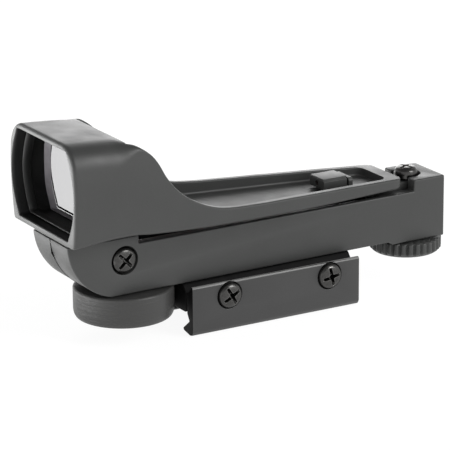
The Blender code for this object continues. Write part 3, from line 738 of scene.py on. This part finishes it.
# Painted shade: faces inside the hood's window take the near-black copy of the plastic.
sight.data.materials.append(PLASTIC_PAINTED_SHADE)
for polygon in sight.data.polygons:
    x, y, z = polygon.center / MM
    between = abs(y) < inner_half_width(x, z) + INNER_MARGIN
    in_window = between and INNER_LOW_Z < z < ceiling_at(x) + INNER_MARGIN
    if FRONT_X + 0.15 < x < ROOF_REAR_X + 0.1 and in_window:
        polygon.material_index = 1

# ---------------------------------------------------------------- lens and its frame
INSET_FULL_Z = 6.0  # height off the middle from which an inset ring is drawn in by all of its gap
LENS_X = -56.1
LENS_FACE_X = -54.7
LENS_BACK_X = -52.8
FRAME_X = -62.6
FRAME_BACK_X = -60.0


def inset(ring, x, gap, low_gap=None):
    """A section drawn in by a gap, another at the bottom if given, and moved to x."""
    out = []
    for _, y, z in ring:
        lean = max(-1.0, min(1.0, (z - WINDOW_MID_Z) / INSET_FULL_Z))
        rise = gap * lean if z > WINDOW_MID_Z or low_gap is None else low_gap * lean
        out.append((x, y - math.copysign(gap, y), z - rise))
    return out


lens_line = window_section(LENS_X)
lens_rings = [inset(lens_line, LENS_BACK_X, 0.40), inset(lens_line, LENS_X, 0.30),
              inset(lens_line, LENS_X, 0.42), inset(lens_line, LENS_FACE_X, 1.45, 0.45)]
lens = obj_from("lens_glass", loft(lens_rings))
piece(lens, GLASS, "sight", "lens_glass", "reflector_lens")
lens.data.materials.append(GROUND_EDGE)
for polygon in lens.data.polygons:
    is_face = abs(polygon.normal.x) > 0.9 and len(polygon.vertices) > 4
    polygon.material_index = 0 if is_face else 1

frame_line = window_section(FRAME_X)
frame_rings = [inset(frame_line, x, gap) for x, gap in (
    (FRAME_X, 0.35), (FRAME_BACK_X, 0.6), (FRAME_BACK_X, 0.95), (FRAME_BACK_X - 0.5, 1.1),
    (FRAME_X + 0.7, 1.0), (FRAME_X, 0.7))]
lens_ring = obj_from("lens_ring", loft(frame_rings, closed=True))
round_edges(lens_ring, 0.12, smooth_angle=40)
# The lens ring inside the hood takes the same near-black painted-shade copy of the plastic.
piece(lens_ring, PLASTIC_PAINTED_SHADE, "sight", "black_plastic", "lens_frame")

# ---------------------------------------------------------------- emitter
LAMP_Z = 27.4
EMITTER_X, EMITTER_REAR_X = 21.2, 29.0
BRIDGE_X, BRIDGE_REAR_X = 29.4, 30.8

emitter_outline = [(-3.8, 26.0), (3.8, 26.0), (3.8, 28.5), (3.4, 28.6), (3.4, 29.2),
                   (-3.4, 29.2), (-3.4, 28.6), (-3.8, 28.5)]
emitter = obj_from("emitter_shell", prism(emitter_outline, "X", EMITTER_X, EMITTER_REAR_X))
round_edges(emitter, 0.16)
for hole in (obj_from("aperture", rod(0.8, -1, 2), (EMITTER_X, 0, LAMP_Z), ALONG_X),
             obj_from("bore", rod(1.4, 1.0, 4.6), (EMITTER_X, 0, LAMP_Z), ALONG_X),
             obj_from("well", box(25.3, 28.2, -2.5, 2.5, 25, 28.3))):
    combine(emitter, [hole])
shade(emitter, 40)
piece(emitter, PLASTIC, "sight", "black_plastic", "emitter_housing")

bridge_outline = [(-4.1, 26.1), (4.1, 26.1), (4.1, 27.9), (3.5, 28.6), (-3.5, 28.6), (-4.1, 27.9)]
bridge = obj_from("emitter_bridge",
                  prism(rounded(bridge_outline, 0.5), "X", BRIDGE_X, BRIDGE_REAR_X))
notch_outline = rounded([(-2.6, 24.0), (2.6, 24.0), (2.6, 27.4), (-2.6, 27.4)], 0.6)
notch = prism(notch_outline, "X", BRIDGE_X - 0.4, BRIDGE_REAR_X + 0.4)
combine(bridge, [obj_from("notch", notch)])
round_edges(bridge, 0.14)
piece(bridge, PLASTIC, "sight", "black_plastic", "emitter_clip")

# ---------------------------------------------------------------- base
NOSE_X, NOSE_Z = BASE_FRONT_X + BASE_NOSE_R, 25.9
TAIL_X = 40.5  # where the underside starts to step down to the tail
BASE_LOW_Z = 8.5
TAIL_LOW_Z = 7.6
SHELF_X = -41.5  # rear end of the raised front seat
CHANNEL_RIM_Z = 22.4
REAR_BLOCK_X = 49.3
REAR_BLOCK_Z = 25.8
POCKET_HALF_W = 4.3
POCKET_X = 40.5
CHANNEL_HALF_W = 6.3
CHANNEL_FLOOR_Z = 10.9
SPRING_WELL_R = 3.2
LIFT_HOLE_R = 1.85
WINDAGE_HOLE_R = 1.75
NEAR_BORE_R = 4.05
FAR_BORE_R = 3.0
HUB_HOLE_R = 3.28
BOARD_RECESS_R = 8.1
BLOCK_SCREW_HOLE_R = 1.3
SEAM_TURN = (176, 252, 40)  # start and end in degrees, and steps
SEAM_DEPTH = 0.09
SEAM_HALF_W = 0.04
SEAT_LINE_Z = (24.7, 25.1)
SEAT_LINE_END_X = -41.3
SEAT_LINE_Y = 9.75
CUT_PAST = 12  # how far to the sides the seat line's cuts reach
CUT_FRONT_X = -66

nose_turn = math.degrees(math.asin((NOSE_Z - BASE_LOW_Z) / BASE_NOSE_R))
base_side = arc(NOSE_X, NOSE_Z, BASE_NOSE_R, 180, 180 + nose_turn, 36)
base_side += [(TAIL_X, BASE_LOW_Z), (42.1, TAIL_LOW_Z), (BASE_REAR_X, TAIL_LOW_Z),
              (BASE_REAR_X, REAR_BLOCK_Z), (REAR_BLOCK_X, REAR_BLOCK_Z),
              (REAR_BLOCK_X, CHANNEL_RIM_Z), (SHELF_X, CHANNEL_RIM_Z), (SHELF_X, NOSE_Z)]
base_rings = [[(x, side * base_half_width(x), z) for x, z in base_side] for side in (-1, 1)]
base = obj_from("base_shell", loft(base_rings))
round_edges(base, 0.5, segments=4)
pocket = [(POCKET_X, -POCKET_HALF_W)] + arc(ELEV_X, 0, POCKET_HALF_W, -90, 90, 32)
pocket.append((POCKET_X, POCKET_HALF_W))
seam = arc(NOSE_X, NOSE_Z, BASE_NOSE_R - SEAM_DEPTH, *SEAM_TURN)
seam += reversed(arc(NOSE_X, NOSE_Z, BASE_NOSE_R + 1.0, *SEAM_TURN))
near_wall = base_half_width(PIVOT_X)
combine(base, [
    obj_from("channel",
             box(-52.7, 38.5, -CHANNEL_HALF_W, CHANNEL_HALF_W, CHANNEL_FLOOR_Z, 30)),
    obj_from("pocket", prism(pocket, "Z", 20, 30)),
    obj_from("tongue_slot", box(33, 41.5, -POCKET_HALF_W, POCKET_HALF_W, 20, 30)),
    obj_from("spring_well", rod(SPRING_WELL_R, 13, 22), (ELEV_X, 0, 0)),
    obj_from("screw_way", rod(LIFT_HOLE_R, 4, 20), (ELEV_X, 0, 0)),
    obj_from("side_hole", rod(WINDAGE_HOLE_R, -14, 14), (PIVOT_X, 0, PIVOT_Z), ALONG_Y),
    obj_from("near_bore", rod(NEAR_BORE_R, -2, 4, 96), (PIVOT_X, -near_wall, PIVOT_Z), ALONG_Y),
    obj_from("far_bore", rod(FAR_BORE_R, -4, 1.8), (PIVOT_X, near_wall, PIVOT_Z), ALONG_Y),
    obj_from("hub_hole", rod(HUB_HOLE_R, 5, 16), (DIAL_X, 0, 0)),
    obj_from("board_recess", rod(BOARD_RECESS_R, 5, 9.8, 96), (DIAL_X, 0, 0)),
    *[obj_from("bolt_hole", rod(BLOCK_SCREW_HOLE_R, 5, 16), (x, 0, 0))
      for x in BLOCK_SCREW_XS.values()],
    obj_from("seam", prism(seam, "Y", -SEAM_HALF_W, SEAM_HALF_W)),
    obj_from("index_mark", box(-65, BASE_FRONT_X + 0.22, -0.2, 0.2, 22.9, 24.5)),
    obj_from("seat_line_near",
             box(CUT_FRONT_X, SEAT_LINE_END_X, -CUT_PAST, -SEAT_LINE_Y, *SEAT_LINE_Z)),
    obj_from("seat_line_far",
             box(CUT_FRONT_X, SEAT_LINE_END_X, SEAT_LINE_Y, CUT_PAST, *SEAT_LINE_Z)),
    obj_from("seat_line_front",
             box(CUT_FRONT_X, BASE_FRONT_X + 0.45, -CUT_PAST, CUT_PAST, *SEAT_LINE_Z)),
], weld=0.02)
round_edges(base, 0.18, segments=2, angle=40)
piece(base, PLASTIC, "base", "black_plastic", "base_housing")

# ---------------------------------------------------------------- dial and battery cap
DIAL_PROFILE = [
    (0, 5.9), (10.35, 5.9), (10.35, 2.7), (12.3, 2.7), (12.3, -0.5), (12.9, -0.5), (13.4, -0.2),
    (13.8, 0.5), (14.0, 1.5), (14.0, 7.8), (13.6, 8.2), (3.2, 8.2), (3.2, 11.0), (2.6, 11.0),
    (2.6, 12.0), (3.2, 12.0), (3.2, 12.4), (0, 12.4)]
CAP_PROFILE = [(0, 0.5), (11.6, 0.5), (12.0, 0.9), (12.0, 1.9), (10.2, 1.9), (10.2, 2.1), (0, 2.1)]
COIN_SLOT_X = 5.2
COIN_SLOT_R = 0.9

dial = obj_from("dial_shell", lathe(softened(DIAL_PROFILE, 0.3), 160), (DIAL_X, 0, 0))
wiper_pocket = box(-7.9, -4.3, -1.3, 1.3, 6.7, 9)
combine(dial, [obj_from("wiper_pocket", wiper_pocket, (DIAL_X, 0, 0))])
shade(dial, 40)
piece(dial, DIAL_PLASTIC, "dial", "black_plastic", "brightness_dial")

cap = obj_from("cap_shell", lathe(softened(CAP_PROFILE, 0.15), 128), (DIAL_X, 0, 0))
slot_outline = arc(COIN_SLOT_X, 0, COIN_SLOT_R, -90, 90, 12)
slot_outline += arc(-COIN_SLOT_X, 0, COIN_SLOT_R, 90, 270, 12)
combine(cap, [obj_from("coin_slot", prism(slot_outline, "Z", -1, 1.3), (DIAL_X, 0, 0))])
shade(cap, 40)
piece(cap, DIAL_PLASTIC, "cap", "black_plastic", "battery_cap")

# ---------------------------------------------------------------- elevation wheel
FLUTES = 30
FLUTE_POINTS = 12
FLUTE_DEPTH = 0.75
FLUTE_POWER = 5  # higher makes the grooves narrower
WHEEL_R = 10.5
WHEEL_RINGS = ((2.9, 1.5, 0.0), (3.0, 1.2, 0.0), (3.3, 0.75, 0.0), (3.55, 0.55, 0.0),
               (3.8, 0.30, 0.5), (4.0, 0.05, 1.0), (4.2, 0.0, 1.0), (6.7, 0.0, 1.0),
               (6.95, 0.1, 0.9), (7.1, 0.35, 0.6))  # z, draw-in and share of the flutes
WHEEL_DISH = [(0, 2), (7.4, 2), (7.4, 3.4), (6.9, 3.9), (0, 3.9)]

flute_line = []
for k in range(FLUTES * FLUTE_POINTS):
    angle = 2 * math.pi * k / (FLUTES * FLUTE_POINTS)
    flute_line.append((angle, FLUTE_DEPTH * abs(math.cos(FLUTES * angle / 2)) ** FLUTE_POWER))
wheel_rings = []
for z, draw_in, share in WHEEL_RINGS:
    reaches = [(angle, WHEEL_R - draw_in - share * cut) for angle, cut in flute_line]
    wheel_rings.append([(reach * math.cos(a), reach * math.sin(a), z) for a, reach in reaches])
wheel = obj_from("wheel_shell", loft(wheel_rings), (ELEV_X, 0, 0))
combine(wheel, [obj_from("wheel_hole", rod(1.58, 0, 12), (ELEV_X, 0, 0)),
                obj_from("wheel_dish", lathe(WHEEL_DISH), (ELEV_X, 0, 0))])
shade(wheel, 38)
piece(wheel, WHEEL_PLASTIC, "lift_wheel", "black_plastic", "elevation_wheel")

# ---------------------------------------------------------------- screws
HEAD_CURVE = ((0.93, 0.70), (0.78, 0.88), (0.55, 0.98))  # shares of the head's radius and height
CROSS_RINGS = ((1.0, 0.40), (0.7, 0.68), (0.0, 1.0))  # share of the depth and of the width


def cross_screw(name, at, turn, head_r, head_h, shank_r, length, body, node, spin=0.0,
                groove=None):
    """A pan-head screw with a cross recess, its head on +Z.

    groove is (low end, width, depth) of a ring groove in the shank, for a clip.
    """
    profile = [(0, -length), (shank_r * 0.7, -length), (shank_r, -length + 0.6)]
    if groove:
        low, width, depth = groove
        profile += [(shank_r, low), (shank_r - depth, low), (shank_r - depth, low + width),
                    (shank_r, low + width)]
    profile += [(shank_r, -0.02), (head_r * 0.95, 0.0), (head_r, 0.2), (head_r, head_h * 0.42)]
    profile += [(head_r * across_share, head_h * up_share) for across_share, up_share in HEAD_CURVE]
    profile.append((0, head_h))
    screw = obj_from(name, lathe(softened(profile, 0.25), 72), at, turn)
    wing = head_r * 0.78
    half = head_r * 0.135
    bend = half * 1.5
    wing_outline = ((bend, -half), (wing * 0.9, -half * 0.9), (wing, -half * 0.5),
                    (wing, half * 0.5), (wing * 0.9, half * 0.9), (bend, half))
    outline = []
    for quarter in range(4):
        a = math.radians(90 * quarter + spin)
        outline += [(px * math.cos(a) - py * math.sin(a), px * math.sin(a) + py * math.cos(a))
                    for px, py in wing_outline]
    depth = head_h * 0.8
    levels = [(head_h - depth * down, width) for down, width in CROSS_RINGS]
    levels.append((head_h + 0.6, 1.12))
    rings = [[(x * width, y * width, z) for x, y in outline] for z, width in levels]
    combine(screw, [obj_from("recess", loft(rings), at, turn)], weld=0.005)
    round_edges(screw, 0.06, segments=2, angle=40, smooth_angle=40)
    piece(screw, SCREW, body, "dark_screw", node)


cross_screw("pivot_screw", (PIVOT_X, -(near_wall - 1.9), PIVOT_Z), ALONG_Y, 3.75, 2.6, 1.5,
            2 * near_wall - 2.4, "windage_knob", "windage_screw", spin=45,
            groove=(3.0 - 2 * near_wall - 0.1, 0.8, 0.35))
cross_screw("lift_screw_steel", (ELEV_X, 0, 24.6), None, 3.5, 3.4, 1.5, 20.4,
            "lift_screw", "elevation_screw", spin=20)
for label, spin in (("front", 30), ("rear", 12)):
    at = (CLAMP_SCREW_XS[label], -JAW_OUTER_Y + 1.15, CLAMP_SCREW_Z)
    cross_screw(f"jaw_screw_{label}_steel", at, ALONG_Y, 3.7, 2.6, 2.0, 25.2,
                f"jaw_screw_{label}", f"clamp_screw_{label}", spin=spin)
for label, x in BLOCK_SCREW_XS.items():
    cross_screw(f"block_bolt_{label}", (x, 0, 2.2), UPSIDE_DOWN, 3.0, 1.7, 1.25, 8.5,
                "base", f"block_screw_{label}", spin=33)

# ---------------------------------------------------------------- rail clamp
DOVETAIL = ((10.4, -0.6), (11.3, -2.1), (7.7, -4.9), (8.1, -5.5), (11.6, -6.2), (12.8, -5.9),
            (JAW_OUTER_Y, -4.9))
BLOCK_OUTLINE = [(-7.6, 8.2), (-9.7, 5.6), (-9.7, 0.6), (-9.1, 0), (9.6, 0), *DOVETAIL,
                 (JAW_OUTER_Y, 7.6), (12.9, 8.2)]
JAW_OUTLINE = [(-y, z) for y, z in (
    (JAW_OUTER_Y - 0.45, 8.2), (12.7, 8.2), (10.1, 5.2), (10.1, -0.2), *DOVETAIL,
    (JAW_OUTER_Y, 7.7))]
NUT_HALF_W = 3.5
NUT_HALF_H = 3.3
BLOCK_HOLE_R = 2.3
JAW_HOLE_R = 2.15
JAW_BORE_R = 3.9
JAW_BORE_DEPTH = 1.3
BOLT_HOLE_R = 1.6
BOLT_HEAD_BORE_R = 3.3
BOLT_SEAT_Z = 2.4
UNLIT_BLOCK_Y = -7.2  # the block is unlit beyond this, in the gap behind the jaw
UNLIT_JAW_Y = -12.6
JAW_TONGUE_Z = -0.4
# Upward-facing jaw faces above this take the painted highlight.
JAW_TOP_Z = 7.5

block = obj_from("clamp_block_shell",
                 prism(rounded(BLOCK_OUTLINE, 0.35, 3), "X", -CLAMP_HALF_L, CLAMP_HALF_L))
jaw = obj_from("jaw_shell",
               prism(rounded(JAW_OUTLINE, 0.3, 3), "X", -CLAMP_HALF_L, CLAMP_HALF_L))
block_tools, jaw_tools = [], []
for x in CLAMP_SCREW_XS.values():
    nut_pocket = box(x - NUT_HALF_W, x + NUT_HALF_W, 10.4, 15,
                     CLAMP_SCREW_Z - NUT_HALF_H, CLAMP_SCREW_Z + NUT_HALF_H)
    hole = rod(BLOCK_HOLE_R, -16, 16)
    block_tools.append(obj_from("hole", hole, (x, 0, CLAMP_SCREW_Z), ALONG_Y))
    block_tools.append(obj_from("nut_pocket", nut_pocket))
    hole = rod(JAW_HOLE_R, -16, 16)
    jaw_tools.append(obj_from("hole", hole, (x, -10, CLAMP_SCREW_Z), ALONG_Y))
    bore = rod(JAW_BORE_R, -JAW_BORE_DEPTH, 4, 96)
    jaw_tools.append(obj_from("bore", bore, (x, -JAW_OUTER_Y, CLAMP_SCREW_Z), ALONG_Y))
for x in BLOCK_SCREW_XS.values():
    block_tools.append(obj_from("bore", rod(BOLT_HOLE_R, -3, 12), (x, 0, 0)))
    head_bore = rod(BOLT_HEAD_BORE_R, -3, BOLT_SEAT_Z, 96)
    block_tools.append(obj_from("head_bore", head_bore, (x, 0, 0)))
combine(block, block_tools, weld=0.01)
combine(jaw, jaw_tools, weld=0.01)
for clamp_piece in (block, jaw):
    round_edges(clamp_piece, 0.18, angle=50, smooth_angle=40)
piece(block, PAINTED, "base", "painted_metal", "rail_clamp_block")
piece(jaw, PAINTED, "jaw", "painted_metal", "clamp_jaw")
block.data.materials.append(COAT_PAINTED_SHADE)
jaw.data.materials.append(COAT_PAINTED_SHADE)
jaw.data.materials.append(COAT_PAINTED_HIGHLIGHT)
# Painted shade: the block's faces in the gap behind the jaw and its front ends take the near-black
# copy of the coat.
for polygon in block.data.polygons:
    in_gap = polygon.center.y / MM < UNLIT_BLOCK_Y
    polygon.material_index = 1 if in_gap or polygon.normal.x < -0.9 else 0
# On the jaw, faces in the gap and the front ends take painted shade, and upward faces along the top
# edge take a painted highlight.
for polygon in jaw.data.polygons:
    _, y, z = polygon.center / MM
    in_gap = y > UNLIT_JAW_Y and z > JAW_TONGUE_Z
    unlit = in_gap or polygon.normal.x < -0.9
    highlit_top = z > JAW_TOP_Z and polygon.normal.z > 0.2 and not in_gap
    polygon.material_index = 2 if highlit_top else 1 if unlit else 0

# ---------------------------------------------------------------- CAD pieces kept, refinished
KEPT = {
    "clamp_nut_front": STEEL, "clamp_nut_rear": STEEL, "dimmer_board": BOARD,
    "elevation_spring": STEEL, "dial_clip": STEEL, "dial_wiper": BRASS, "battery": STEEL,
    "cap_seal": RUBBER, "windage_clip": STEEL, "pivot_barrel": BRASS, "barrel_clip": STEEL,
    "emitter_led": LAMP, "emitter_board": BOARD, "lamp_lead_red": WIRE_RED,
    "lamp_lead_black": WIRE_BLACK,
}
for name, skin in KEPT.items():
    NODES[name].data.materials.clear()
    NODES[name].data.materials.append(skin)

# ---------------------------------------------------------------- floor and light
FLOOR_R_M = 40.0
FLOOR_GAP_M = 0.0001
FLOOR_GREY = 0.15
FLOOR_GLOW = 0.92
LEFT_GLOW = 5.0  # added on the left of the object, fading in along X and towards the back
LEFT_GLOW_X_M = (-0.07, -0.14)
LEFT_GLOW_Y_M = (-0.10, 0.03)
SKY = ((0.0, 1.0), (0.28, 1.0), (0.50, 0.45), (0.9, 0.28))  # share of the height, brightness

floor_mesh = bmesh.new()
bmesh.ops.create_circle(floor_mesh, cap_ends=True, radius=FLOOR_R_M, segments=96)
floor_data = bpy.data.meshes.new("floor")
floor_mesh.to_mesh(floor_data)
floor_mesh.free()
floor = bpy.data.objects.new("floor", floor_data)
floor.location = (0, 0, cad_low.z - FLOOR_GAP_M)
bpy.context.scene.collection.objects.link(floor)
floor_skin, floor_tree, floor_shader = new_material("pale_floor")
floor_shader.inputs["Base Color"].default_value = (FLOOR_GREY, FLOOR_GREY, FLOOR_GREY, 1)
floor_shader.inputs["Roughness"].default_value = 0.9
floor_shader.inputs["Specular IOR Level"].default_value = 0.0
spot = floor_tree.nodes.new("ShaderNodeTexCoord")
spot_parts = floor_tree.nodes.new("ShaderNodeSeparateXYZ")
floor_tree.links.new(spot.outputs["Object"], spot_parts.inputs["Vector"])
glow = floor_tree.nodes.new("ShaderNodeMath")
glow.operation = "MULTIPLY_ADD"
feed(floor_tree, smooth_range(floor_tree, spot_parts.outputs["X"], *LEFT_GLOW_X_M, LEFT_GLOW),
     glow.inputs[0])
feed(floor_tree, smooth_range(floor_tree, spot_parts.outputs["Y"], *LEFT_GLOW_Y_M, 1.0),
     glow.inputs[1])
glow.inputs[2].default_value = FLOOR_GLOW
floor_shader.inputs["Emission Color"].default_value = (1, 1, 1, 1)
floor_tree.links.new(glow.outputs["Value"], floor_shader.inputs["Emission Strength"])
floor_data.materials.append(floor_skin)

world = bpy.data.worlds.new("studio")
world.use_nodes = True
bpy.context.scene.world = world
sky = world.node_tree.nodes["Background"]
heading = world.node_tree.nodes.new("ShaderNodeTexCoord")
heading_parts = world.node_tree.nodes.new("ShaderNodeSeparateXYZ")
world.node_tree.links.new(heading.outputs["Generated"], heading_parts.inputs["Vector"])
shades = ramp(world.node_tree, heading_parts.outputs["Z"], SKY)
world.node_tree.links.new(shades, sky.inputs["Color"])
sky.inputs["Strength"].default_value = 1.0


def softbox(name, at, size, power, target=(0, 0, 20)):
    """A large square studio light aimed at the object; power is in watts."""
    light = bpy.data.lights.new(name, "AREA")
    light.shape = "SQUARE"
    light.size = size * MM
    light.energy = power
    obj = bpy.data.objects.new(name, light)
    direction = (Vector(target) - Vector(at)).normalized()
    facing = direction.to_track_quat("-Z", "Y").to_matrix().to_4x4()
    obj.matrix_world = Matrix.Translation(Vector(at) * MM) @ facing
    bpy.context.scene.collection.objects.link(obj)


softbox("back_light", (190, 330, 165), 300, 0.7, (0, 0, 36))
softbox("front_light", (500, -800, 600), 500, 6.0)
